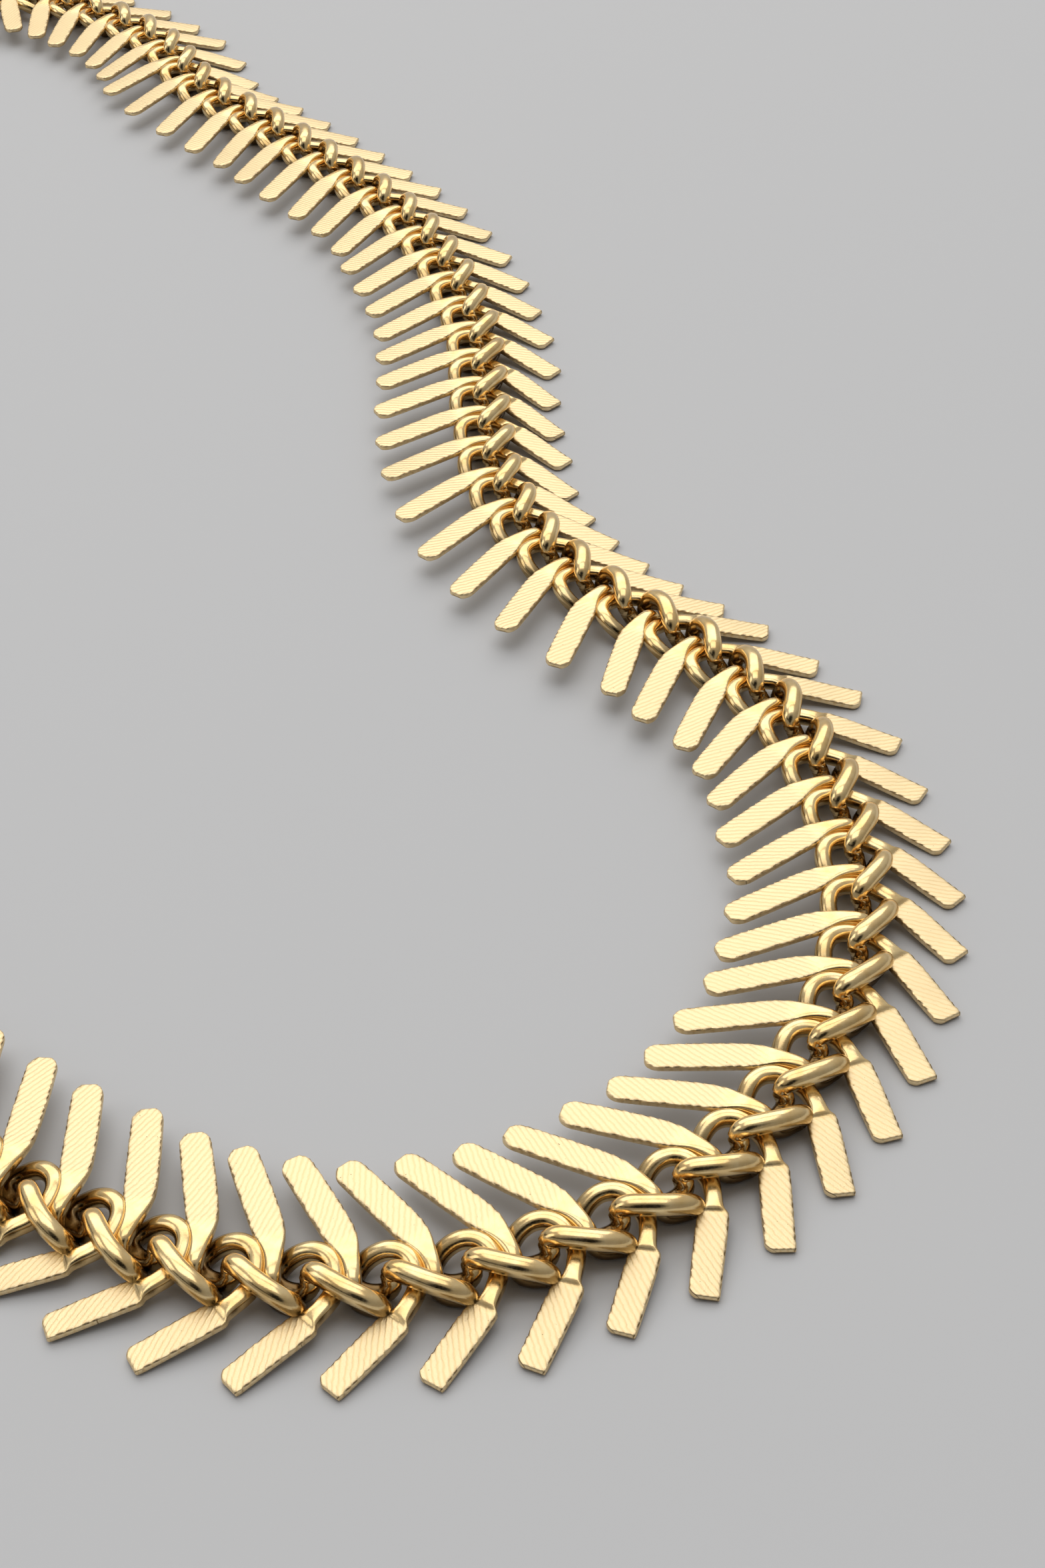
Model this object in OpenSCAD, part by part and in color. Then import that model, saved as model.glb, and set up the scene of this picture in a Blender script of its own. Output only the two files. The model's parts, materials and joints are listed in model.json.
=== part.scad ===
// Necklace of fishbone links, lying open on a flat surface.
// Each link is one piece of round wire: a loop that hooks the link before it,
// with both wire ends flattened into paddles that point back along the chain.
// Z is up, the surface is Z = 0, and X = Y = 0 is the middle of the whole loop.
// In a link's own frame +X runs along the chain and +Y to the inside of the loop.

/* [Chain] */
// Number of links
links = 96; // [94:1:97]
// Diameter of the round wire
wire_d = 1.08; // [1.0:0.02:1.1]
// Length of the chain that one link takes, which the whole route grows with
pitch = 4.5; // [4.45:0.01:4.7]
// Width of a link's loop across the chain
loop_w = 3.6; // [3.5:0.05:3.7]

/* [Paddles] */
// Width of a flattened wire end
paddle_w = 1.66; // [1.0:0.02:1.8]
// Thickness of a flattened wire end
paddle_t = 0.4; // [0.3:0.02:0.44]
// Length of the outer arm, from the loop to its tip
outer_arm = 6.47; // [5:0.01:6.6]
// Angle of the outer arm from the chain's line
outer_splay = 38; // [37:0.5:40]
// Length of the inner arm, from the loop to its tip
inner_arm = 9; // [7:0.05:9.2]
// Angle of the inner arm from the chain's line
inner_splay = 62.8; // [61:0.2:65]
// Length of round wire between the loop and the outer paddle
outer_neck = 1.2; // [1.2:0.05:1.5]
// Length of round wire between the loop and the inner paddle
inner_neck = 1.75; // [1.5:0.05:2.2]
// Height of the outer paddle's tip above the surface, to its middle
outer_tip_z = 0.25; // [0.24:0.01:0.4]
// Height of the inner paddle's tip above the surface, to its middle
inner_tip_z = 1.71; // [1.5:0.01:2.0]

/* [Clasp] */
// Length of the plain clasp body along the chain
clasp_len = 10.3; // [8:0.1:13]
// Width of the clasp body
clasp_w = 4.4; // [4:0.1:5]
// Height of the clasp body
clasp_h = 3.2; // [3.1:0.05:3.6]
// Corner radius of the clasp body
clasp_r = 1.2; // [0.5:0.1:1.8]
// Room left between the clasp body and the links that it joins
clasp_gap = 0.36; // [0.2:0.02:0.6]

/* [Hidden] */
gold = [0.86, 0.68, 0.36];

// The chosen route of the chain's middle line, seen from above, in mm and from an
// arbitrary corner, for links of route_pitch. It starts at the clasp, and the whole is
// moved to the middle later.
route_pitch = 4.5;
route = [
    [-82, 50.3], [-80.9, 37.5], [-78.7, 22.2], [-71.6, 7.2], [-60.6, -8.7], [-47.9, -21.9],
    [-34, -33.3], [-25.5, -38.8], [-17, -42.6], [-7, -43.4], [3.5, -40.3], [13.5, -32.5],
    [20, -21], [21.5, -9], [18.7, 3.8], [12.8, 13], [6.2, 20.1], [1.8, 27], [-1.1, 35.3],
    [-2.1, 45.7], [-3.2, 61], [-8.6, 77.5], [-19, 93], [-29.4, 106.5], [-35.6, 118.6],
    [-45.6, 128.1], [-57.1, 131.7], [-69.2, 129.6], [-79.2, 122.2], [-84.5, 111.1],
    [-85, 96.9], [-84.2, 83], [-83.2, 67]
];

// The loop's wire from the outer neck round to the inner neck.
// Each row: along the chain as a share of pitch, across as a share of loop_w,
// and height of the wire's middle as a share of wire_d.
loop_rows = [
    [-0.262, -0.485, 0.804],
    [-0.148, 0.039, 1.138],
    [-0.263, 0.472, 1.316],
    [-0.58, 0.65, 1.25],
    [-0.87, 0.45, 0.584],
    [-0.796, 0.149, 0.5],
    [-0.495, 0.018, 0.646],
    [-0.461, 0.074, 1.88],
    [0.029, -0.326, 2.245],
    [0.394, -0.413, 1.558],
    [0.371, -0.261, 0.794],
    [0.089, -0.192, 1.043],
    [0.085, 0.213, 1.85]
];

// Five corners of a section: the round wire, and the flattened paddle.
sides = 5;
wire_r = wire_d / 2;
wire_ring = [for (k = [0:sides - 1]) wire_r * [cos(54 + 72 * k), sin(54 + 72 * k)]];
paddle_ring = [
    [paddle_w / 2, paddle_t / 2],
    [-paddle_w / 2, paddle_t / 2],
    [-paddle_w / 2, -paddle_t / 2],
    [0, -paddle_t / 2],
    [paddle_w / 2, -paddle_t / 2]
];

function unit(v) = v / norm(v);

// Middle points of one link, tip to tip, in the link's own frame.
function loop_point(r) = [r[0] * pitch, r[1] * loop_w, r[2] * wire_d];
loop_points = [for (r = loop_rows) loop_point(r)];
outer_root = loop_points[0];
inner_root = loop_points[len(loop_points) - 1];
outer_dir = [-cos(outer_splay), -sin(outer_splay)];
inner_dir = [-cos(inner_splay), sin(inner_splay)];
function arm_point(root, dir, reach, d, tip_z) =
    [root[0] + dir[0] * d, root[1] + dir[1] * d, root[2] + (tip_z - root[2]) * d / reach];
link_points = concat(
    [arm_point(outer_root, outer_dir, outer_arm, outer_arm, outer_tip_z)],
    [arm_point(outer_root, outer_dir, outer_arm, outer_neck, outer_tip_z)],
    loop_points,
    [arm_point(inner_root, inner_dir, inner_arm, inner_neck, inner_tip_z)],
    [arm_point(inner_root, inner_dir, inner_arm, inner_arm, inner_tip_z)]
);
rings = len(link_points);

// A wire swept through points: its corners, ring after ring.
function along(pts, i) = unit(pts[min(i + 1, len(pts) - 1)] - pts[max(i - 1, 0)]);
function ring_at(c, t, corners) =
    let (side = unit(cross(t, [0, 0, 1])))
    let (up = cross(side, t))
    [for (q = corners) c + side * q[0] + up * q[1]];
function is_paddle(i, n) = i < 2 || i > n - 3;
link_corners = [
    for (i = [0:rings - 1])
        each ring_at(link_points[i], along(link_points, i),
                     is_paddle(i, rings) ? paddle_ring : wire_ring)
];

// Triangles of a sweep of n rings of corners, counted on from corner base.
function sweep_faces(n, base) = concat(
    [for (i = [0:n - 2], k = [0:sides - 1])
        let (a = base + sides * i + k)
        let (b = base + sides * i + (k + 1) % sides)
        each [[a, b, a + sides], [b, b + sides, a + sides]]],
    [for (k = [1:sides - 2]) [base, base + k + 1, base + k]],
    [for (k = [1:sides - 2]) let (e = base + sides * (n - 1)) [e, e + k, e + k + 1]]
);

// The smooth closed line through the route's points, and the distance along it.
route_steps = 24;
route_n = len(route);
route_size = pitch / route_pitch;
function smooth(a, b, c, d, t) =
    0.5 * (2 * b + (c - a) * t + (2 * a - 5 * b + 4 * c - d) * t * t
           + (3 * b - a - 3 * c + d) * t * t * t);
line = [
    for (i = [0:route_n], k = [0:route_steps - 1])
        if (i < route_n || k == 0)
            route_size
                * smooth(route[(i + route_n - 1) % route_n], route[i % route_n],
                         route[(i + 1) % route_n], route[(i + 2) % route_n], k / route_steps)
];
steps = [for (i = [1:len(line) - 1]) norm(line[i] - line[i - 1])];
dist = [for (i = 0, d = 0; i < len(line); d = d + (i < len(steps) ? steps[i] : 0), i = i + 1) d];
route_len = dist[len(dist) - 1];
line_x = [for (i = [0:len(line) - 1]) [dist[i], line[i][0]]];
line_y = [for (i = [0:len(line) - 1]) [dist[i], line[i][1]]];
function spot(d) = [lookup(d, line_x), lookup(d, line_y)];
function heading(d) =
    let (v = spot(d + 0.09 * pitch) - spot(d - 0.09 * pitch))
    atan2(v[1], v[0]);

// The clasp stands in for the links at its middle: half of it and one link each way.
clasp_half = (clasp_len - 0.08 * pitch) / 2;
first_at = clasp_half + pitch;
spacing = (route_len - 2 * first_at) / (links - 1);
function link_dist(i) = first_at + i * spacing;
function placed(p, at, h) =
    [at[0] + p[0] * cos(h) - p[1] * sin(h), at[1] + p[0] * sin(h) + p[1] * cos(h), p[2]];
function placed_link(i) =
    let (d = link_dist(i))
    let (at = spot(d))
    let (h = heading(d))
    [for (p = link_corners) placed(p, at, h)];

// Every corner of the chain, to find the middle of the loop.
all_corners = [for (i = [0:links - 1]) each placed_link(i)];
xs = [for (p = all_corners) p[0]];
ys = [for (p = all_corners) p[1]];
middle = [(min(xs) + max(xs)) / 2, (min(ys) + max(ys)) / 2];
half = floor(links / 2);

module chain_run(from, to) {
    corners = [
        for (i = [from:to])
            each [for (p = placed_link(i)) p - [middle[0], middle[1], 0]]
    ];
    faces = [for (i = [0:to - from]) each sweep_faces(rings, i * rings * sides)];
    color(gold) polyhedron(points = corners, faces = faces);
}

module chain_first_half() {
    chain_run(0, half - 1);
}

module chain_second_half() {
    chain_run(half, links - 1);
}

// One bare end loop of the clasp, like a link's own, starting and ending in the body.
module end_loop(pts) {
    corners = [for (i = [0:len(pts) - 1]) each ring_at(pts[i], along(pts, i), wire_ring)];
    polyhedron(points = corners, faces = sweep_faces(len(pts), 0));
}

module rounded_slab(x0, x1, w, h, r) {
    linear_extrude(height = h) {
        translate([x0 + r, -w / 2]) square([x1 - x0 - 2 * r, w]);
        translate([x0, -w / 2 + r]) square([x1 - x0, w - 2 * r]);
        for (x = [x0 + r, x1 - r], y = [-w / 2 + r, w / 2 - r])
            translate([x, y]) circle(r = r, $fn = 48);
    }
}

// The body's ends keep clear of the loops that the next links hook in.
body_x0 = -clasp_half - 0.36 * pitch + clasp_gap;
body_x1 = clasp_half - 0.12 * pitch - clasp_gap;
body_y = 0.1 * loop_w;
back_ids = [2, 3, 4, 5, 6, 7];
front_ids = [8, 9, 10, 11, 12];
back_loop = concat(
    [for (i = back_ids) loop_points[i] - [clasp_half, 0, 0]],
    [loop_points[8] - [clasp_half, 0, 0]]
);
front_in = [clasp_half - 0.4 * pitch, loop_points[8][1], loop_points[8][2] - 0.4 * wire_d];
front_out = [clasp_half - 0.4 * pitch, inner_root[1], inner_root[2]];
front_loop = concat(
    [front_in],
    [for (i = front_ids) loop_points[i] + [clasp_half, 0, 0]],
    [front_out]
);

module clasp() {
    at = spot(0) - middle;
    h = atan2(route[1][1] - route[0][1], route[1][0] - route[0][0]);
    color(gold) translate([at[0], at[1], 0]) rotate([0, 0, h]) union() {
        translate([0, body_y, 0]) rounded_slab(body_x0, body_x1, clasp_w, clasp_h, clasp_r);
        end_loop(back_loop);
        end_loop(front_loop);
    }
}

chain_first_half();
chain_second_half();
clasp();
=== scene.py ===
"""Looks of a fishbone chain necklace that lies open on a pale surface.

Every link is one wire: a loop that hooks the link before it, and two ends beaten flat
into hatched paddles. The clasp is one plain piece in the stretch that stays behind.
"""
import json
import logging
import math
from dataclasses import dataclass, field
from enum import Enum

import bpy
import numpy as np
from mathutils import Matrix, Vector

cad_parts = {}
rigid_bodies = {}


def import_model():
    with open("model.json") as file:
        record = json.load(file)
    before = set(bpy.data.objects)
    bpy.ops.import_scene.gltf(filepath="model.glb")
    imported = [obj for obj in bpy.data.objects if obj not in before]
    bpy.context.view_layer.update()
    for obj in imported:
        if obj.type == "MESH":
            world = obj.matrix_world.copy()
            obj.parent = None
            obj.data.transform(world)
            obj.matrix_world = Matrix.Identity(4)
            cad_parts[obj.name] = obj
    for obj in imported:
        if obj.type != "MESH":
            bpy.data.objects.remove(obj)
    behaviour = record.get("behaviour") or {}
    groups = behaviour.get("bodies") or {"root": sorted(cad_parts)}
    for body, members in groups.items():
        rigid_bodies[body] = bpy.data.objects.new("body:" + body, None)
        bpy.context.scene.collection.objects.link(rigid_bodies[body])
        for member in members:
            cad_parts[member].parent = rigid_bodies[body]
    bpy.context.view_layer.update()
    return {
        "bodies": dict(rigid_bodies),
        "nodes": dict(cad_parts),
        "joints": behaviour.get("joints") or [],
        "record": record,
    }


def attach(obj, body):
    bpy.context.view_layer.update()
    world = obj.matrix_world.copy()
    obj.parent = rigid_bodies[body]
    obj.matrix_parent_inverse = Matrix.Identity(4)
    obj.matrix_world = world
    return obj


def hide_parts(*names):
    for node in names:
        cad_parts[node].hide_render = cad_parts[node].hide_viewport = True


MM = 0.001
SENSOR_MM = 36.0
IMAGE_HEIGHT_PX = 2352
LOWEST_MM = 0.01
LEAST_GAP_MM = 1e-6
FIRST_SEED = 7000
CHART_STEP_MM = 3.0
# PAINTED_SHADE is the column of the painted shade share: colour darkened where shade falls deep in the chain
HALF_WIDTH, HALF_THICK, SQUARE, PADDLE, PAINTED_SHADE = 3, 4, 5, 6, 7
Point = tuple[float, float, float]
Span = tuple[float, float]
Stops = list[Span]
Socket = bpy.types.NodeSocket
log = logging.getLogger("necklace")


class Detail(Enum):
    """How finely links are meshed: ring gaps on wire and on paddles in mm, and corners round."""

    NEAR = (0.2, 0.1, 24)
    FAR = (0.3, 0.22, 18)


@dataclass(frozen=True)
class Station:
    """One station along a link's wire, in shares of the pitch and in the link's own frame.

    The first three give the wire's middle, then come half its width and half its thickness.
    Square is 0 for a round section and 1 for a flat bar, paddle is 1 where the hatch lies, and
    painted shade is 1 where the wire lies deep in the chain and its colour is darkened as painted shade.
    """

    along: float
    across: float
    height: float
    half_width: float
    half_thick: float
    square: float = 0.1
    paddle: float = 0.0
    # painted shade: share by which the colour is darkened where shade falls deep in the chain
    painted_shade: float = 0.0

    def row(self, pitch: float) -> list[float]:
        """The station as a row of numbers in millimetres."""
        sizes = (self.along, self.across, self.height, self.half_width, self.half_thick)
        return [pitch * v for v in sizes] + [self.square, self.paddle, self.painted_shade]


@dataclass
class LinkShape:
    """The wire of one link: an outer paddle, the loop, and an inner paddle."""

    pitch: float = 4.5
    wire: float = 0.127
    front: float = 0.140
    under_share: float = 0.96
    thick_share: float = 0.97
    # painted shade: below this height the colour darkens, fully at one reach lower
    painted_shade_below: float = 0.34
    painted_shade_reach: float = 0.16
    outer_paddle: list[Station] = field(default_factory=lambda: [
        Station(-1.395, -1.280, 0.056, 0.196, 0.046, 1.0, 1.0),
        Station(-1.150, -1.075, 0.093, 0.203, 0.046, 1.0, 1.0),
        Station(-0.900, -0.870, 0.140, 0.208, 0.047, 1.0, 1.0),
        Station(-0.640, -0.658, 0.186, 0.208, 0.048, 1.0, 1.0),
        Station(-0.500, -0.545, 0.206, 0.200, 0.050, 1.0, 0.8),
        # the last number here is painted shade where the paddle meets the neck
        Station(-0.462, -0.512, 0.213, 0.188, 0.055, 0.95, 0.2, 0.22),
        Station(-0.425, -0.475, 0.222, 0.140, 0.082, 0.75, 0.0),
    ])
    neck: list[Station] = field(default_factory=lambda: [
        Station(-0.340, -0.388, 0.240, 0.117, 0.104, 0.55),
        Station(-0.250, -0.272, 0.258, 0.118, 0.108, 0.50),
        Station(-0.172, -0.142, 0.276, 0.122, 0.118, 0.30),
    ])
    arch: list[Point] = field(default_factory=lambda: [
        (-0.140, 0.010, 0.300), (-0.143, 0.150, 0.330), (-0.180, 0.295, 0.352),
        (-0.290, 0.430, 0.362), (-0.455, 0.500, 0.345), (-0.645, 0.500, 0.265),
        (-0.800, 0.430, 0.170), (-0.890, 0.300, 0.130), (-0.885, 0.165, 0.130),
        (-0.790, 0.070, 0.130), (-0.640, 0.020, 0.132), (-0.520, 0.000, 0.175),
        (-0.450, 0.020, 0.270), (-0.455, 0.070, 0.380), (-0.430, 0.070, 0.470),
    ])
    front_wire: list[Point] = field(default_factory=lambda: [
        (-0.350, 0.010, 0.522), (-0.210, -0.100, 0.542), (0.030, -0.258, 0.532),
        (0.265, -0.338, 0.460), (0.405, -0.338, 0.350),
    ])
    under: list[Point] = field(default_factory=lambda: [
        (0.462, -0.308, 0.232), (0.448, -0.260, 0.146), (0.360, -0.220, 0.130),
        (0.240, -0.180, 0.130), (0.140, -0.130, 0.165), (0.085, -0.070, 0.280),
    ])
    inner_paddle: list[Station] = field(default_factory=lambda: [
        Station(0.078, 0.020, 0.380, 0.110, 0.110, 0.2),
        Station(0.062, 0.160, 0.410, 0.112, 0.100, 0.4),
        Station(0.022, 0.330, 0.420, 0.126, 0.084, 0.7),
        Station(-0.035, 0.500, 0.422, 0.168, 0.064, 0.85, 0.3),
        Station(-0.105, 0.650, 0.420, 0.204, 0.052, 1.0, 1.0),
        Station(-0.220, 0.870, 0.415, 0.216, 0.047, 1.0, 1.0),
        Station(-0.460, 1.300, 0.400, 0.219, 0.045, 1.0, 1.0),
        Station(-0.660, 1.650, 0.390, 0.213, 0.045, 1.0, 1.0),
        Station(-0.830, 1.950, 0.380, 0.204, 0.044, 1.0, 1.0),
    ])

    def ring(self, points: list[Point], radius: float) -> list[Station]:
        """Makes stations of plain round wire, with painted shade where it lies low.

        Args:
            points: the wire's middle, point by point.
            radius: half the wire's width.

        Returns:
            One station for each point.
        """
        # painted shade: the lower the wire lies, the darker its colour
        painted_shading = [min(max((self.painted_shade_below - p[2]) / self.painted_shade_reach, 0.0), 1.0) for p in points]
        return [Station(*p, radius, radius * self.thick_share, painted_shade=d) for p, d in zip(points, painted_shading)]

    def rows(self) -> np.ndarray:
        """All stations of a link, from the outer tip through the loop to the inner tip.

        Returns:
            One row of millimetres and marks for each station.
        """
        stations = (
            self.outer_paddle + self.neck + self.ring(self.arch, self.wire)
            + self.ring(self.front_wire, self.front)
            + self.ring(self.under, self.wire * self.under_share) + self.inner_paddle
        )
        return np.array([s.row(self.pitch) for s in stations])


def smooth_through(rows: np.ndarray, count: int) -> np.ndarray:
    """Centripetal Catmull-Rom curve through rows of numbers whose first three are a place.

    Args:
        rows: the rows to pass through.
        count: samples in each span.

    Returns:
        The sampled rows.
    """
    ends = np.vstack([2 * rows[0] - rows[1], rows, 2 * rows[-1] - rows[-2]])
    out = []
    for i in range(1, len(ends) - 2):
        a, b, c, d = ends[i - 1:i + 3]
        k = [0.0]
        for p, q in ((a, b), (b, c), (c, d)):
            k.append(k[-1] + max(float(np.linalg.norm(q[:3] - p[:3])), LEAST_GAP_MM) ** 0.5)
        for t in np.linspace(k[1], k[2], count, endpoint=False):
            ab = ((k[1] - t) * a + (t - k[0]) * b) / (k[1] - k[0])
            bc = ((k[2] - t) * b + (t - k[1]) * c) / (k[2] - k[1])
            cd = ((k[3] - t) * c + (t - k[2]) * d) / (k[3] - k[2])
            abc = ((k[2] - t) * ab + (t - k[0]) * bc) / (k[2] - k[0])
            bcd = ((k[3] - t) * bc + (t - k[1]) * cd) / (k[3] - k[1])
            out.append(((k[2] - t) * abc + (t - k[1]) * bcd) / (k[2] - k[1]))
    out.append(ends[-2])
    return np.array(out)


def hump(value: np.ndarray, middle: float, reach: float, height: float) -> np.ndarray:
    """A hump that falls from its height at the middle, by one in each reach, kept in 0 to 1."""
    return np.clip(height - np.abs(value - middle) / reach, 0.0, 1.0)


def bulge(wave: np.ndarray, power: np.ndarray | float) -> np.ndarray:
    """A sine or cosine raised to a power with its sign kept, which squares a round section."""
    return np.sign(wave) * np.abs(wave) ** power


@dataclass
class SweptMesh:
    """Vertices, faces and per-vertex marks of one swept wire."""

    verts: np.ndarray
    faces: list[tuple[int, ...]]
    chart: np.ndarray
    paddle: np.ndarray
    painted_shade: np.ndarray


@dataclass(frozen=True)
class Corner:
    """How a paddle's end is cut: its corners' length and roundness, the end's width and its lean."""

    length: float
    power: float
    blunt: float
    lean: float = 0.0


@dataclass(frozen=True)
class Sway:
    """How links differ at one arm: the arm's length and the usual difference, in millimetres."""

    reach: float
    spread: float


@dataclass(frozen=True)
class Hatch:
    """The grooves across a paddle, in millimetres, and the notches that they leave in its edges.

    Depth and nick_shade are a middle value and a swing around it. Their pace and turn say how
    they change from one groove to the next and with a link's roll. The painted shade in a groove's
    notch fades in and out between two shares of the groove's gap, and lies on the rim, so many
    degrees above the edge.
    """

    gap: float = 0.33
    turn_deg: float = 38.5
    tooth: float = 0.095
    tooth_base: float = 0.8
    depth: float = 0.75
    depth_swing: float = 0.35
    depth_pace: float = 2.4
    depth_turn: float = 5.0
    # painted shade in the notches that grooves cut in the edge: nick_shade and the fields below
    nick_shade: float = 0.9
    nick_swing: float = 1.8
    nick_pace: float = 1.9
    nick_turn: float = 9.0
    nick_start: float = 1.0
    nick_from: float = 0.20
    nick_fade_in: float = 0.12
    nick_to: float = 0.95
    nick_fade_out: float = 0.10
    rim_deg: float = 34.0
    rim_reach_deg: float = 16.0
    rim_height: float = 1.4

    def phase(self, dist: np.ndarray, across: np.ndarray) -> np.ndarray:
        """How many grooves lie between the chart's corner and each point."""
        turn = math.radians(self.turn_deg)
        return (dist * math.sin(turn) + across * math.cos(turn)) / self.gap

    def teeth(self, phase: np.ndarray, roll: np.ndarray) -> np.ndarray:
        """How far the edge stands out at each point, in millimetres.

        Args:
            phase: grooves up to each point.
            roll: the roll of each ring, in radians.

        Returns:
            The distances, below zero where the edge stands back.
        """
        deep = self.depth + self.depth_swing * np.sin(np.floor(phase) * self.depth_pace
                                                      + self.depth_turn * roll)
        return self.tooth * (phase % 1.0 - self.tooth_base) * deep

    def shade_in_nicks(self, phase: np.ndarray, roll: np.ndarray, rise: np.ndarray) -> np.ndarray:
        """How much painted shade each point of the rim gets in the notch that a groove cuts.

        Args:
            phase: grooves up to each point.
            roll: the roll of each ring, in radians.
            rise: how far round from the edge each corner lies, in degrees.

        Returns:
            Shares from 0 to 1.
        """
        step = phase % 1.0
        bite = (np.clip((step - self.nick_from) / self.nick_fade_in, 0.0, 1.0)
                * np.clip((self.nick_to - step) / self.nick_fade_out, 0.0, 1.0))
        turn = np.floor(phase) * self.nick_pace + self.nick_turn * roll + self.nick_start
        shy = np.clip(self.nick_swing * np.sin(turn) + self.nick_shade, 0.0, 1.0)
        return hump(rise, self.rim_deg, self.rim_reach_deg, self.rim_height) * bite * shy


@dataclass
class WireSweep:
    """Turns a link's stations into a closed skin with rounded ends. Sizes are in millimetres."""

    wire_gap: float
    paddle_gap: float
    corners: int
    hatch: Hatch = Hatch()
    outer_corner: Corner = Corner(0.48, 1.6, 0.64, 0.8)
    inner_corner: Corner = Corner(0.95, 2.0, 0.26)
    outer_sway: Sway = Sway(5.6, 0.09)
    inner_sway: Sway = Sway(8.6, 0.12)
    sway_power: float = 1.5
    sway_lift: float = 0.25
    sway_roll: float = 0.35
    curve_steps: int = 14
    tip_rings: tuple[float, ...] = (0.0, 0.012, 0.035, 0.07, 0.12, 0.19, 0.28)
    paddle_margin: float = 0.5
    edge_length: float = 0.12
    edge_least: float = 0.03
    straight_tip: float = 0.75
    steep: float = 0.25
    squaring: float = 0.74
    upper: float = 0.35
    upper_swing: float = 0.9
    upper_power: float = 0.5
    edge_power: float = 0.3
    # painted shade on the lower side of the paddles' edges, darkest at the bottom
    low_edge_shade: float = 0.55
    low_edge_deg: float = 40.0
    # painted dark reflection: a dark line along the neck's upper side near the paddle's root, set by this and
    # the four fields below
    crease_reflection: float = 0.9
    crease_at: float = 6.15
    crease_reach: float = 0.32
    crease_deg: float = 14.0
    crease_height: float = 1.5

    def sample(self, rows: np.ndarray) -> tuple[np.ndarray, np.ndarray]:
        """Rings spaced evenly along the wire, closer on the paddles and at both tips.

        Args:
            rows: the stations of one link.

        Returns:
            The sampled rows, and each row's distance from the outer tip.
        """
        dense = smooth_through(rows, self.curve_steps)
        gaps = np.linalg.norm(np.diff(dense[:, :3], axis=0), axis=1)
        dist = np.concatenate([[0.0], np.cumsum(gaps)])
        total = dist[-1]
        near = np.array(self.tip_rings)
        marked = dist[dense[:, PADDLE] > 0.5]
        outer_end = marked[marked < total / 2].max() + self.paddle_margin
        inner_start = marked[marked > total / 2].min() - self.paddle_margin
        want = np.concatenate([
            near,
            np.arange(near[-1] + self.paddle_gap, outer_end, self.paddle_gap),
            np.arange(outer_end, inner_start, self.wire_gap),
            np.arange(inner_start, total - near[-1] - 0.5 * self.paddle_gap, self.paddle_gap),
            (total - near)[::-1],
        ])
        columns = [np.interp(want, dist, dense[:, k]) for k in range(dense.shape[1])]
        return np.stack(columns, axis=1), want

    def rounded(self, rows: np.ndarray, dist: np.ndarray) -> np.ndarray:
        """Narrows the rows at both tips, so a paddle ends in bevelled corners and a soft edge.

        Args:
            rows: sampled rows.
            dist: distance of each row from the outer tip.

        Returns:
            The rows with their half widths and half thicknesses changed.
        """
        out = rows.copy()
        way = rows[1, :2] - rows[0, :2]
        near_side = np.array([way[1], -way[0]]) / np.linalg.norm(way)
        for corner, gone in ((self.outer_corner, dist), (self.inner_corner, dist[-1] - dist)):
            share = np.clip(gone / corner.length, 0.0, 1.0)
            wide = (1 - (1 - share) ** corner.power) ** (1 / corner.power)
            kept = corner.blunt + (1 - corner.blunt) * wide
            out[:, :2] += near_side * (corner.lean * (1 - kept) * out[:, HALF_WIDTH])[:, None]
            out[:, HALF_WIDTH] *= kept
            edge = np.clip(gone / self.edge_length, 0.0, 1.0)
            out[:, HALF_THICK] *= np.maximum(np.sqrt(1 - (1 - edge) ** 2), self.edge_least)
        return out

    def sway(self, rows: np.ndarray, dist: np.ndarray, rng: np.random.Generator) -> np.ndarray:
        """Bends both arms a little, each link its own way, and gives each ring its roll.

        Args:
            rows: sampled rows, whose places are changed.
            dist: distance of each row from the outer tip.
            rng: seeded source of the differences.

        Returns:
            The roll of each ring, in radians.
        """
        roll = np.zeros(len(rows))
        for arm, gone in ((self.outer_sway, dist), (self.inner_sway, dist[-1] - dist)):
            bend = rng.normal(0.0, arm.spread, 3)
            lean = np.clip(1 - gone / arm.reach, 0.0, 1.0)
            rows[:, 0] += lean ** self.sway_power * bend[0]
            rows[:, 1] += lean ** self.sway_power * bend[1]
            rows[:, 2] += lean ** self.sway_power * abs(bend[2]) * self.sway_lift
            roll += lean * bend[2] * self.sway_roll
        return roll

    def axes(self, rows: np.ndarray, dist: np.ndarray,
             roll: np.ndarray) -> tuple[np.ndarray, np.ndarray]:
        """The side and up directions of every ring, level where the wire isn't too steep.

        Args:
            rows: sampled rows.
            dist: distance of each row from the outer tip.
            roll: the roll of each ring, in radians.

        Returns:
            The side directions and the up directions.
        """
        tangent = np.gradient(rows[:, :3], axis=0)
        for end in (dist < self.straight_tip, dist > dist[-1] - self.straight_tip):
            tangent[end] = tangent[~end][0 if end[0] else -1]
        tangent /= np.linalg.norm(tangent, axis=1)[:, None]
        side = np.cross(tangent, [0.0, 0.0, 1.0])
        side[np.linalg.norm(side, axis=1) < self.steep] = np.nan
        good = ~np.isnan(side[:, 0])
        at = np.arange(len(rows))
        for k in range(3):
            side[:, k] = np.interp(at, at[good], side[good, k])
        side -= (side * tangent).sum(1)[:, None] * tangent
        side /= np.linalg.norm(side, axis=1)[:, None]
        up = np.cross(side, tangent)
        cos, sin = np.cos(roll)[:, None], np.sin(roll)[:, None]
        return side * cos + up * sin, up * cos - side * sin

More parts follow.
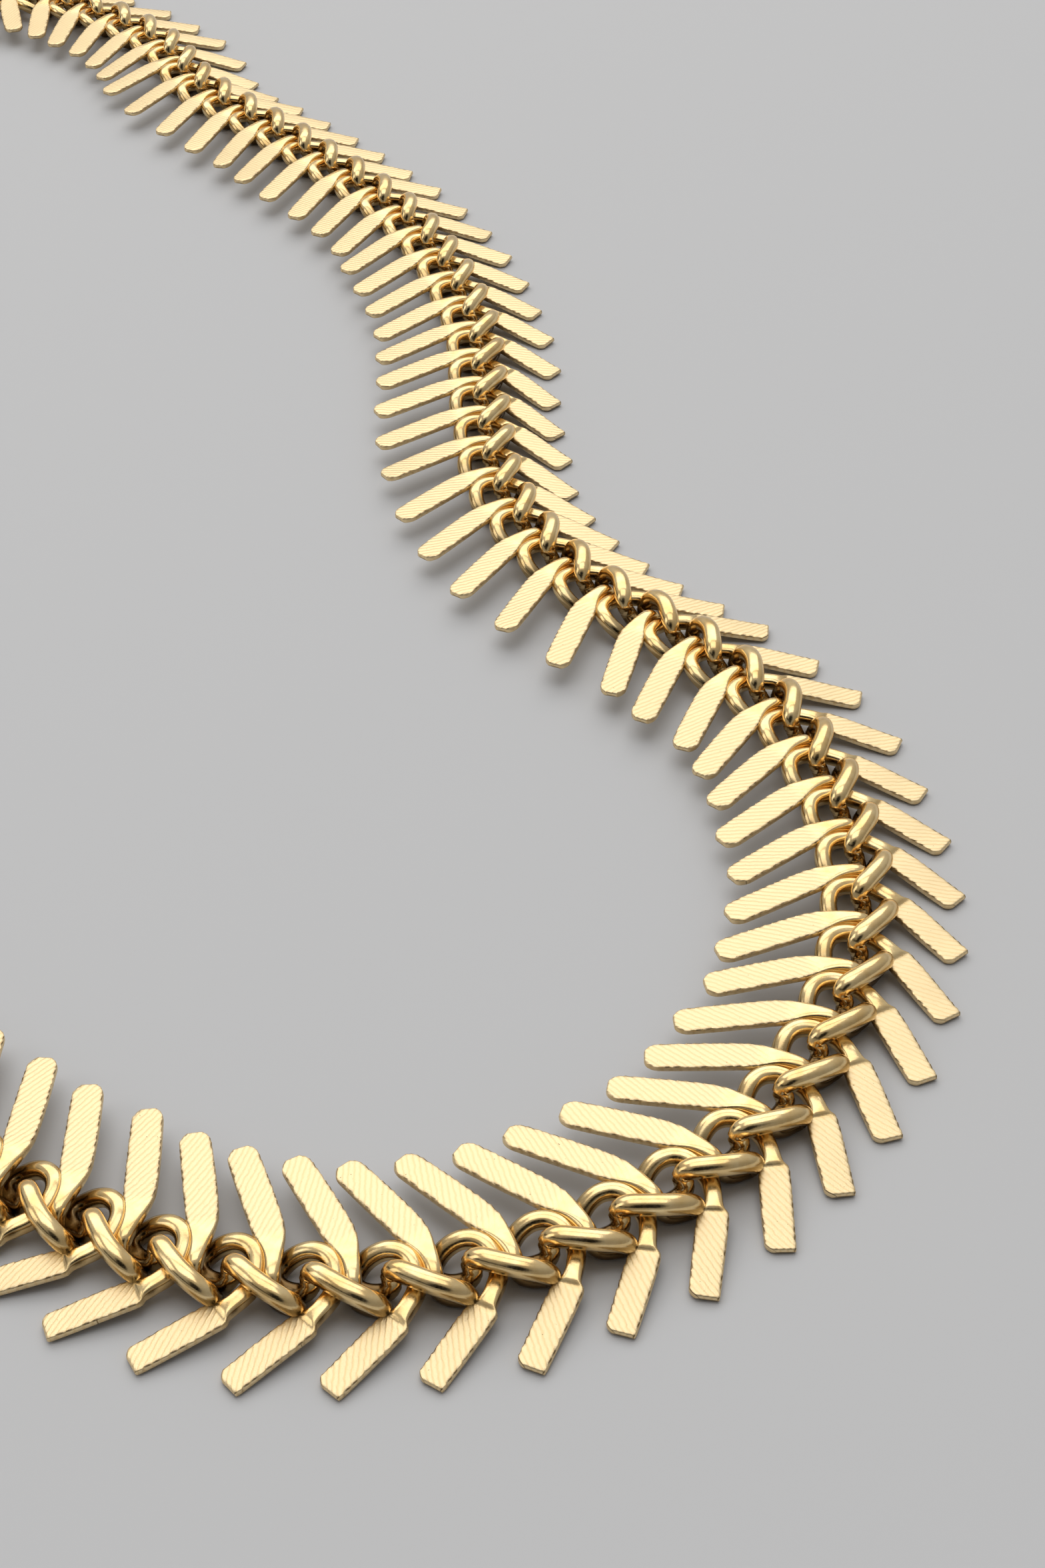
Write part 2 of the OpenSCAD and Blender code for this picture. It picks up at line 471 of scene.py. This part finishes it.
    def skin(self, rows: np.ndarray, dist: np.ndarray,
             roll: np.ndarray) -> tuple[np.ndarray, np.ndarray, np.ndarray]:
        """Rings of corners around the wire, with the paddles' edges toothed where grooves leave.

        Args:
            rows: sampled rows.
            dist: distance of each row from the outer tip.
            roll: the roll of each ring, in radians.

        Returns:
            The corners, ring after ring, how far across the hatch's chart each lies, and how
            much painted shade it gets in a groove's notch or on a paddle's lower side, or as a painted
            dark reflection along the neck.
        """
        side, up = self.axes(rows, dist, roll)
        angle = (np.arange(self.corners) + 0.5) / self.corners * 2 * math.pi
        cos, sin = np.cos(angle)[None, :], np.sin(angle)[None, :]
        dist, roll = dist[:, None], roll[:, None]
        power = 1.0 - self.squaring * np.clip(rows[:, [SQUARE]], 0.0, 1.0)
        wide = bulge(cos, power) * rows[:, [HALF_WIDTH]]
        tall = bulge(sin, power) * rows[:, [HALF_THICK]]
        across = np.where(dist < dist[-1] / 2, wide, -wide)
        phase = self.hatch.phase(dist, across)
        mark = np.clip(rows[:, [PADDLE]], 0.0, 1.0)
        upper = np.clip(self.upper + self.upper_swing * bulge(sin, self.upper_power), 0.0, 1.0)
        rim = np.abs(cos) ** self.edge_power * upper
        wide = wide + np.sign(wide) * mark * self.hatch.teeth(phase, roll) * rim
        verts = rows[:, None, :3] + wide[..., None] * side[:, None, :] + tall[..., None] * up[:, None, :]
        rise = np.degrees(np.arctan2(sin, np.abs(cos)))
        # painted shade in the notches of the toothed edge
        nick_shade = mark * self.hatch.shade_in_nicks(phase, roll, rise)
        # painted shade on the lower half of each paddle's edge
        low = self.low_edge_shade * mark * np.clip(-rise / self.low_edge_deg, 0.0, 1.0)
        # painted dark reflection along the neck's upper side
        crease_reflection = self.crease_reflection * hump(dist, self.crease_at, self.crease_reach, self.crease_height)
        facet = hump(rise, self.crease_deg, self.hatch.rim_reach_deg, self.crease_height)
        crease_reflection = crease_reflection * (cos > 0) * facet
        return verts, across, np.maximum(np.maximum(nick_shade, low), crease_reflection)

    def build(self, shape: LinkShape, rng: np.random.Generator) -> SweptMesh:
        """One link's skin.

        Args:
            shape: the link's sizes.
            rng: seeded source of the small differences between links.

        Returns:
            The skin in the link's own frame, in millimetres.
        """
        rows, dist = self.sample(shape.rows())
        rows = self.rounded(rows, dist)
        roll = self.sway(rows, dist, rng)
        verts, across, dark = self.skin(rows, dist, roll)
        verts[..., 2] = np.maximum(verts[..., 2], LOWEST_MM)
        count, ring = len(rows), self.corners
        faces = []
        for start in range(0, (count - 1) * ring, ring):
            for k in range(ring):
                a, b = start + k, start + (k + 1) % ring
                faces.append((a, b, b + ring, a + ring))
        faces.append(tuple(range(ring))[::-1])
        faces.append(tuple((count - 1) * ring + k for k in range(ring)))
        chart = np.stack([np.broadcast_to(dist[:, None], across.shape), across], axis=-1)
        # the paddle mark and the painted shade share; the painted shade also takes the edge and neck shading
        # made in skin
        marks = np.repeat(np.clip(rows[:, [PADDLE, PAINTED_SHADE]], 0.0, 1.0), ring, axis=0)
        painted_shade = np.maximum(marks[:, 1], dark.ravel())
        return SweptMesh(verts.reshape(-1, 3), faces, chart.reshape(-1, 2), marks[:, 0], painted_shade)


@dataclass
class ChainRoute:
    """The way of the chain's middle line over the surface, the same as the solids take."""

    links: int = 96
    pitch: float = 4.5
    clasp_len: float = 10.3
    clasp_share: float = 0.08
    heading_share: float = 0.09
    middle: tuple[float, float] = (-31.6518, 44.076)
    steps: int = 24
    points: list[tuple[float, float]] = field(default_factory=lambda: [
        (-82, 50.3), (-80.9, 37.5), (-78.7, 22.2), (-71.6, 7.2), (-60.6, -8.7), (-47.9, -21.9),
        (-34, -33.3), (-25.5, -38.8), (-17, -42.6), (-7, -43.4), (3.5, -40.3), (13.5, -32.5),
        (20, -21), (21.5, -9), (18.7, 3.8), (12.8, 13), (6.2, 20.1), (1.8, 27), (-1.1, 35.3),
        (-2.1, 45.7), (-3.2, 61), (-8.6, 77.5), (-19, 93), (-29.4, 106.5), (-35.6, 118.6),
        (-45.6, 128.1), (-57.1, 131.7), (-69.2, 129.6), (-79.2, 122.2), (-84.5, 111.1),
        (-85, 96.9), (-84.2, 83), (-83.2, 67),
    ])

    @property
    def clasp_half(self) -> float:
        """Half the stretch that the clasp takes in place of links."""
        return (self.clasp_len - self.clasp_share * self.pitch) / 2

    def line(self) -> tuple[np.ndarray, np.ndarray]:
        """The smooth closed line.

        Returns:
            Its points from the clasp round to the clasp, and the distance to each.
        """
        pts = np.array(self.points, float)
        n = len(pts)
        out = []
        for i in range(n):
            a, b, c, d = (pts[(i + k) % n] for k in (-1, 0, 1, 2))
            for k in range(self.steps):
                t = k / self.steps
                out.append(0.5 * (2 * b + (c - a) * t + (2 * a - 5 * b + 4 * c - d) * t * t
                                  + (3 * b - a - 3 * c + d) * t ** 3))
        out.append(pts[0])
        line = np.array(out)
        gaps = np.linalg.norm(np.diff(line, axis=0), axis=1)
        return line, np.concatenate([[0.0], np.cumsum(gaps)])

    def places(self) -> list[Point]:
        """Where each link lies.

        Returns:
            One (x, y, heading in radians) for each link, in millimetres from the loop's middle.
        """
        line, dist = self.line()
        first = self.clasp_half + self.pitch
        gap = (dist[-1] - 2 * first) / (self.links - 1)
        reach = self.heading_share * self.pitch

        def spot(at: float) -> np.ndarray:
            """The point at a distance along the line."""
            return np.array([np.interp(at, dist, line[:, 0]), np.interp(at, dist, line[:, 1])])

        out = []
        for i in range(self.links):
            at = first + i * gap
            ahead = spot(at + reach) - spot(at - reach)
            x, y = spot(at) - self.middle
            out.append((float(x), float(y), math.atan2(ahead[1], ahead[0])))
        return out


@dataclass(frozen=True)
class Grain:
    """One noise texture: features in a unit of its coordinates, and how fine they go."""

    scale: float
    detail: float


@dataclass(frozen=True)
class NodeBench:
    """Adds nodes to one shader tree and joins them."""

    tree: bpy.types.NodeTree

    def add(self, kind: str, inputs: dict[str | int, object], **settings: object) -> bpy.types.Node:
        """Adds a node.

        Args:
            kind: the node's type.
            inputs: a socket or a value for each input, by the input's name or number.
            settings: the node's own options.

        Returns:
            The node.
        """
        node = self.tree.nodes.new(kind)
        for name, value in settings.items():
            setattr(node, name, value)
        for name, value in inputs.items():
            if isinstance(value, Socket):
                self.tree.links.new(value, node.inputs[name])
            else:
                node.inputs[name].default_value = value
        return node

    def noise(self, grain: Grain, place: Socket, output: str = "Fac") -> Socket:
        """A noise texture on a set of coordinates."""
        inputs = {"Scale": grain.scale, "Detail": grain.detail, "Vector": place}
        return self.add("ShaderNodeTexNoise", inputs).outputs[output]

    def ramp(self, source: Socket, span: Span, to: Span = (0.0, 1.0)) -> Socket:
        """Maps a value from one span to another."""
        inputs = {"From Min": span[0], "From Max": span[1], "To Min": to[0], "To Max": to[1], "Value": source}
        return self.add("ShaderNodeMapRange", inputs).outputs["Result"]

    def blend(self, share: Socket, a: Socket | Point, b: Socket | Point) -> Socket:
        """Mixes two colours or colour sockets by a share."""
        a, b = (v if isinstance(v, Socket) else (*v, 1.0) for v in (a, b))
        return self.add("ShaderNodeMix", {"Factor": share, 6: a, 7: b}, data_type="RGBA").outputs[2]

    def math(self, kind: str, *values: Socket | float) -> Socket:
        """One arithmetic step on sockets or numbers."""
        return self.add("ShaderNodeMath", dict(enumerate(values)), operation=kind).outputs[0]

    def bump(self, height: Socket, strength: Socket | float, distance: float,
             normal: Socket | None = None) -> Socket:
        """Tilts the surface by a height, on top of an earlier bump where one is given.

        Args:
            height: the height's socket.
            strength: how much of the bump shows.
            distance: what a height of one stands for, in metres.
            normal: the earlier bump.

        Returns:
            The tilted normal.
        """
        inputs = {"Distance": distance, "Strength": strength, "Height": height}
        if normal is not None:
            inputs["Normal"] = normal
        return self.add("ShaderNodeBump", inputs).outputs["Normal"]


@dataclass(frozen=True)
class Dress:
    """The three things that a finish gives its surface, as sockets."""

    colour: Socket
    rough: Socket
    normal: Socket


@dataclass(frozen=True)
class GoldFinish:
    """Polished gold plate, with an optional matt hatch where a vertex mark says paddle."""

    name: str
    polished: Point = (0.96, 0.73, 0.38)
    polished_deep: Point = (0.86, 0.76, 0.60)
    polished_rough: float = 0.18
    polished_wear: Span = (0.8, 1.35)
    tone: Grain = Grain(900.0, 3.0)
    tone_span: Span = (0.35, 0.7)
    fine: Grain = Grain(9000.0, 4.0)
    fine_span: Span = (0.3, 0.7)
    fine_strength: float = 0.12
    fine_height: float = 0.00002
    matt: Point = (0.90, 0.71, 0.42)
    # painted shade in the hatch's grooves: the groove bottoms take this darker tint
    groove_shade_tint: Point = (0.93, 0.88, 0.78)
    matt_rough: float = 0.40
    matt_wear: Span = (0.85, 1.2)
    hatched: bool = True
    hatch: Hatch = Hatch()
    hatch_depth: float = 0.30
    hatch_height: float = 0.00005
    groove_span: Span = (0.0, 0.55)
    wave_length: float = 0.314
    wave_bend: float = 1.6
    wave_detail: float = 3.0
    wave_detail_scale: float = 1.8
    wobble: Grain = Grain(1.6, 2.0)
    wobble_mm: float = 0.10
    grain: Grain = Grain(14.0, 4.0)
    grain_share: float = 0.9
    pits: Grain = Grain(5.0, 5.0)
    pit_span: Span = (0.70, 0.76)
    pit_share: float = 1.2
    pit_tone: float = 0.35
    # painted shade: the near-black colour mixed in where the painted shade share is high
    painted_shade: Point = (0.07, 0.03, 0.006)
    painted_shade_strength: float = 0.9

    @property
    def deep(self) -> Point:
        """The polished plate's darker tone."""
        return tuple(c * s for c, s in zip(self.polished, self.polished_deep))

    def worn(self, rough: float, wear: Span) -> Span:
        """A roughness where the surface is worn least and most."""
        return rough * wear[0], rough * wear[1]

    def material(self) -> bpy.types.Material:
        """Makes the node material.

        Returns:
            The material.
        """
        mat = bpy.data.materials.new(self.name)
        mat.use_nodes = True
        bench = NodeBench(mat.node_tree)
        shader = mat.node_tree.nodes["Principled BSDF"]
        shader.inputs["Metallic"].default_value = 1.0
        dress = self.plate(bench)
        if self.hatched:
            dress = self.paddles(bench, dress)
        for name, source in (("Base Color", dress.colour), ("Roughness", dress.rough),
                             ("Normal", dress.normal)):
            mat.node_tree.links.new(source, shader.inputs[name])
        return mat

    def plate(self, bench: NodeBench) -> Dress:
        """The polished plate: two tones of gold, fine wear and a faint unevenness.

        Args:
            bench: where the nodes are made.

        Returns:
            Its colour, roughness and normal.
        """
        place = bench.add("ShaderNodeTexCoord", {}).outputs["Object"]
        tone = bench.noise(self.tone, place)
        fine = bench.noise(self.fine, place)
        colour = bench.blend(bench.ramp(tone, self.tone_span), self.polished, self.deep)
        rough = bench.ramp(fine, self.fine_span, self.worn(self.polished_rough, self.polished_wear))
        return Dress(colour, rough, bench.bump(fine, self.fine_strength, self.fine_height))

    def paddles(self, bench: NodeBench, plate: Dress) -> Dress:
        """Adds the matt hatch, its grain and pits on the paddles, and the painted shade.

        Args:
            bench: where the nodes are made.
            plate: what the polished plate gives.

        Returns:
            The whole colour, roughness and normal.
        """
        mark = bench.add("ShaderNodeAttribute", {}, attribute_name="paddle").outputs["Fac"]
        # painted shade share from the mesh attribute
        painted_shade_share = bench.add("ShaderNodeAttribute", {}, attribute_name="painted_shade").outputs["Fac"]
        chart = bench.add("ShaderNodeUVMap", {}, uv_map="chart").outputs["UV"]
        turn = (0.0, 0.0, math.radians(self.hatch.turn_deg))
        turned = bench.add("ShaderNodeMapping", {"Vector": chart, "Rotation": turn}).outputs["Vector"]
        wobble = bench.noise(self.wobble, chart, "Color")
        spread = (self.wobble_mm, self.wobble_mm, 0.0)
        sheared = bench.add("ShaderNodeVectorMath", {0: wobble, 1: spread, 2: turned},
                            operation="MULTIPLY_ADD").outputs["Vector"]
        waves = {"Vector": sheared, "Scale": self.wave_length / self.hatch.gap,
                 "Distortion": self.wave_bend, "Detail": self.wave_detail,
                 "Detail Scale": self.wave_detail_scale}
        lines = bench.add("ShaderNodeTexWave", waves, wave_type="BANDS", bands_direction="Y",
                          wave_profile="TRI").outputs["Fac"]
        grain = bench.noise(self.grain, chart)
        groove = bench.ramp(lines, self.groove_span)
        speck = bench.ramp(bench.noise(self.pits, chart), self.pit_span)
        height = bench.math("ADD", groove, bench.math("MULTIPLY", grain, self.grain_share))
        height = bench.math("SUBTRACT", height, bench.math("MULTIPLY", speck, self.pit_share))
        strength = bench.math("MULTIPLY", mark, self.hatch_depth)
        normal = bench.bump(height, strength, self.hatch_height, plate.normal)
        # painted shade in the grooves: darker colour at the groove bottoms
        painted_shading = tuple(c * s for c, s in zip(self.matt, self.groove_shade_tint))
        paddle = bench.blend(groove, painted_shading, self.matt)
        paddle = bench.blend(speck, paddle, tuple(c * self.pit_tone for c in self.deep))
        colour = bench.blend(mark, plate.colour, paddle)
        # painted shade: darkens the colour toward near black where the mesh marks shade
        colour = bench.blend(bench.math("MULTIPLY", painted_shade_share, self.painted_shade_strength), colour, self.painted_shade)
        matt_rough = bench.ramp(grain, self.fine_span, self.worn(self.matt_rough, self.matt_wear))
        rough = bench.add("ShaderNodeMix", {"Factor": mark, 2: plate.rough, 3: matt_rough}).outputs[0]
        return Dress(colour, rough, normal)


@dataclass
class ChainRun:
    """A run of neighbouring links, dressed as one piece."""

    name: str
    first: int
    last: int
    stands_for: str
    detail: Detail

    def mesh(self, route: ChainRoute, shape: LinkShape) -> bpy.types.Mesh:
        """Makes the run's mesh, with its hatch chart and its marks.

        Args:
            route: the chain's route.
            shape: the link's sizes.

        Returns:
            The mesh.
        """
        sweep = WireSweep(*self.detail.value)
        places = route.places()
        verts, faces, charts, base = [], [], [], 0
        # the painted shade share is stored on the mesh as an attribute
        marks: dict[str, list[np.ndarray]] = {"paddle": [], "painted_shade": []}
        for i in range(self.first, self.last + 1):
            link = sweep.build(shape, np.random.default_rng(FIRST_SEED + i))
            x, y, turn = places[i]
            cos, sin = math.cos(turn), math.sin(turn)
            v = link.verts
            verts.append(np.stack([cos * v[:, 0] - sin * v[:, 1] + x,
                                   sin * v[:, 0] + cos * v[:, 1] + y, v[:, 2]], axis=1) * MM)
            faces += [tuple(base + k for k in f) for f in link.faces]
            charts.append(link.chart + np.array([0.0, CHART_STEP_MM * i]))
            marks["paddle"].append(link.paddle)
            marks["painted_shade"].append(link.painted_shade)
            base += len(v)
        mesh = bpy.data.meshes.new(self.name)
        mesh.from_pydata(np.concatenate(verts).tolist(), [], faces)
        mesh.update()
        mesh.polygons.foreach_set("use_smooth", np.ones(len(mesh.polygons), bool))
        loops = np.empty(len(mesh.loops), np.int32)
        mesh.loops.foreach_get("vertex_index", loops)
        layer = mesh.uv_layers.new(name="chart")
        layer.data.foreach_set("uv", np.concatenate(charts)[loops].astype(np.float32).ravel())
        for name, values in marks.items():
            mark = mesh.attributes.new(name, "FLOAT", "POINT")
            mark.data.foreach_set("value", np.concatenate(values).astype(np.float32))
        return mesh

    def build(self, route: ChainRoute, shape: LinkShape, finish: bpy.types.Material) -> bpy.types.Object:
        """Makes the piece and fastens it to the frame.

        Args:
            route: the chain's route.
            shape: the link's sizes.
            finish: the gold material.

        Returns:
            The piece.
        """
        mesh = self.mesh(route, shape)
        mesh.materials.append(finish)
        piece = bpy.data.objects.new(self.name, mesh)
        bpy.context.scene.collection.objects.link(piece)
        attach(piece, "root")
        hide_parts(self.stands_for)
        log.info("%s: links %d to %d, %d faces", self.name, self.first, self.last, len(mesh.polygons))
        return piece


@dataclass
class Clasp:
    """The plain clasp, whose solid stays and only gets its finish."""

    node: str = "clasp"

    def dress(self, frame: dict, finish: bpy.types.Material) -> None:
        """Gives the clasp's solid its gold.

        Args:
            finish: the gold material.
        """
        solid = frame["nodes"][self.node]
        solid.data.materials.clear()
        solid.data.materials.append(finish)
        log.info("%s: finish set", self.node)


@dataclass(frozen=True)
class SoftBox:
    """A soft box that faces the chain: place and size in metres, power in watts, and tint."""

    name: str
    place: Point
    size: Span
    watts: float
    tint: Point

    def hang(self) -> bpy.types.Object:
        """Makes the light.

        Returns:
            The light.
        """
        data = bpy.data.lights.new(self.name, "AREA")
        data.shape = "RECTANGLE"
        data.size, data.size_y = self.size
        data.energy = self.watts
        data.color = self.tint
        light = bpy.data.objects.new(self.name, data)
        light.location = self.place
        light.rotation_euler = (-Vector(self.place)).to_track_quat("-Z", "Y").to_euler()
        bpy.context.scene.collection.objects.link(light)
        return light


@dataclass
class Studio:
    """Pale floor, soft light and the camera."""

    floor_size: float = 3.0
    floor_tone: Point = (0.68, 0.68, 0.685)
    floor_rough: float = 0.75
    floor_shine: float = 0.25
    camera_place: Point = (0.0316518, -0.176476, 0.112855)
    elevation_deg: float = 40.44
    roll_deg: float = -1.81
    focal_px: float = 3823.0
    view_span: Span = (0.005, 10.0)
    boxes: list[SoftBox] = field(default_factory=lambda: [
        SoftBox("back_box", (-0.1, 0.75, 0.75), (1.4, 0.7), 4.0, (1.0, 0.99, 0.97)),
        SoftBox("top_box", (0.0, 0.05, 0.9), (0.8, 0.6), 1.7, (1.0, 1.0, 1.0)),
        SoftBox("left_box", (-0.8, -0.1, 0.5), (0.4, 0.6), 0.9, (1.0, 0.98, 0.95)),
    ])
    sky_strength: float = 0.52
    sky_way: Point = (0.0, 0.64, 0.77)
    sky_stops: Stops = field(default_factory=lambda: [(0.0, 0.50), (0.35, 0.62), (0.7, 0.90), (0.95, 1.0)])
    front_way: Point = (0.0, -0.76, 0.65)
    front_stops: Stops = field(default_factory=lambda: [(0.0, 1.0), (0.90, 1.0), (0.965, 0.02)])
    band_axis: Point = (0.343, 0.363, 0.866)
    band_stops: Stops = field(default_factory=lambda: [(0.0, 0.02), (0.06, 0.03), (0.12, 1.0)])
    band_middle: Point = (-0.80, -0.42, 0.43)
    band_ends: Stops = field(default_factory=lambda: [(0.30, 1.0), (0.55, 0.0)])

    def floor(self) -> bpy.types.Object:
        """Makes the matt floor.

        Returns:
            The floor.
        """
        half = self.floor_size / 2
        corners = [(-half, -half, 0), (half, -half, 0), (half, half, 0), (-half, half, 0)]
        mesh = bpy.data.meshes.new("floor")
        mesh.from_pydata(corners, [], [(0, 1, 2, 3)])
        mat = bpy.data.materials.new("matt_floor")
        mat.use_nodes = True
        shader = mat.node_tree.nodes["Principled BSDF"]
        shader.inputs["Base Color"].default_value = (*self.floor_tone, 1.0)
        shader.inputs["Roughness"].default_value = self.floor_rough
        shader.inputs["Specular IOR Level"].default_value = self.floor_shine
        mesh.materials.append(mat)
        floor = bpy.data.objects.new("floor", mesh)
        bpy.context.scene.collection.objects.link(floor)
        return floor

    def room(self) -> bpy.types.World:
        """The room's own light: bright above and behind, dark in front and in a band at the left.

        Returns:
            The world.
        """
        world = bpy.data.worlds.new("room")
        world.use_nodes = True
        bench = NodeBench(world.node_tree)
        coords = bench.add("ShaderNodeTexCoord", {}).outputs["Generated"]

        def toward(way: Point) -> Socket:
            """How far a direction points a given way, from -1 to 1."""
            inputs = {0: coords, 1: Vector(way).normalized()}
            return bench.add("ShaderNodeVectorMath", inputs, operation="DOT_PRODUCT").outputs["Value"]

        def shade(source: Socket, stops: Stops) -> Socket:
            """A grey value that changes with a share between stops.

            Args:
                source: the share.
                stops: a share and its grey value, stop by stop.

            Returns:
                The grey value.
            """
            ramp = bench.add("ShaderNodeValToRGB", {"Fac": source})
            bar = ramp.color_ramp.elements
            while len(bar) < len(stops):
                bar.new(0.5)
            for element, (at, value) in zip(bar, stops):
                element.position = at
                element.color = (value, value, value, 1.0)
            return ramp.outputs["Color"]

        sky = shade(toward(self.sky_way), self.sky_stops)
        band = shade(bench.math("ABSOLUTE", toward(self.band_axis)), self.band_stops)
        band = bench.math("MAXIMUM", band, shade(toward(self.band_middle), self.band_ends))
        dark = bench.math("MULTIPLY", band, shade(toward(self.front_way), self.front_stops))
        both = bench.add("ShaderNodeMix", {"Factor": 1.0, 6: sky, 7: dark}, data_type="RGBA",
                         blend_type="MULTIPLY")
        back = world.node_tree.nodes["Background"]
        back.inputs["Strength"].default_value = self.sky_strength
        world.node_tree.links.new(both.outputs[2], back.inputs["Color"])
        return world

    def light(self) -> None:
        """Hangs the soft boxes and sets the room's own light."""
        for box in self.boxes:
            box.hang()
        bpy.context.scene.world = self.room()
        bpy.context.scene.view_settings.view_transform = "Standard"

    def camera(self) -> bpy.types.Object:
        """Sets the camera low in front of the near bend.

        Returns:
            The camera.
        """
        data = bpy.data.cameras.new("camera")
        data.sensor_fit = "VERTICAL"
        data.sensor_height = SENSOR_MM
        data.lens = self.focal_px / IMAGE_HEIGHT_PX * SENSOR_MM
        data.clip_start, data.clip_end = self.view_span
        camera = bpy.data.objects.new("camera", data)
        camera.location = self.camera_place
        tilt = Matrix.Rotation(math.radians(90.0 - self.elevation_deg), 4, "X")
        roll = Matrix.Rotation(math.radians(self.roll_deg), 4, "Z")
        camera.rotation_euler = (tilt @ roll).to_euler()
        bpy.context.scene.collection.objects.link(camera)
        bpy.context.scene.camera = camera
        return camera


def main() -> None:
    """Builds the whole scene."""
    logging.basicConfig(level=logging.INFO, format="%(message)s")
    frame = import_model()
    studio = Studio()
    studio.camera()
    studio.floor()
    studio.light()
    route, shape = ChainRoute(), LinkShape()
    links_gold = GoldFinish("hatched_gold").material()
    half = route.links // 2
    runs = [
        ChainRun("links_behind_lower", 0, 16, "chain_first_half", Detail.FAR),
        ChainRun("links_near_left", 17, 32, "chain_first_half", Detail.NEAR),
        ChainRun("links_near_right", 33, half - 1, "chain_first_half", Detail.NEAR),
        ChainRun("links_bend", half, 60, "chain_second_half", Detail.NEAR),
        ChainRun("links_far", 61, 77, "chain_second_half", Detail.FAR),
        ChainRun("links_behind_upper", 78, route.links - 1, "chain_second_half", Detail.FAR),
    ]
    for run in runs:
        run.build(route, shape, links_gold)
    Clasp().dress(frame, GoldFinish("clasp_gold", polished_rough=0.38, hatched=False).material())


if __name__ == "__main__":
    main()
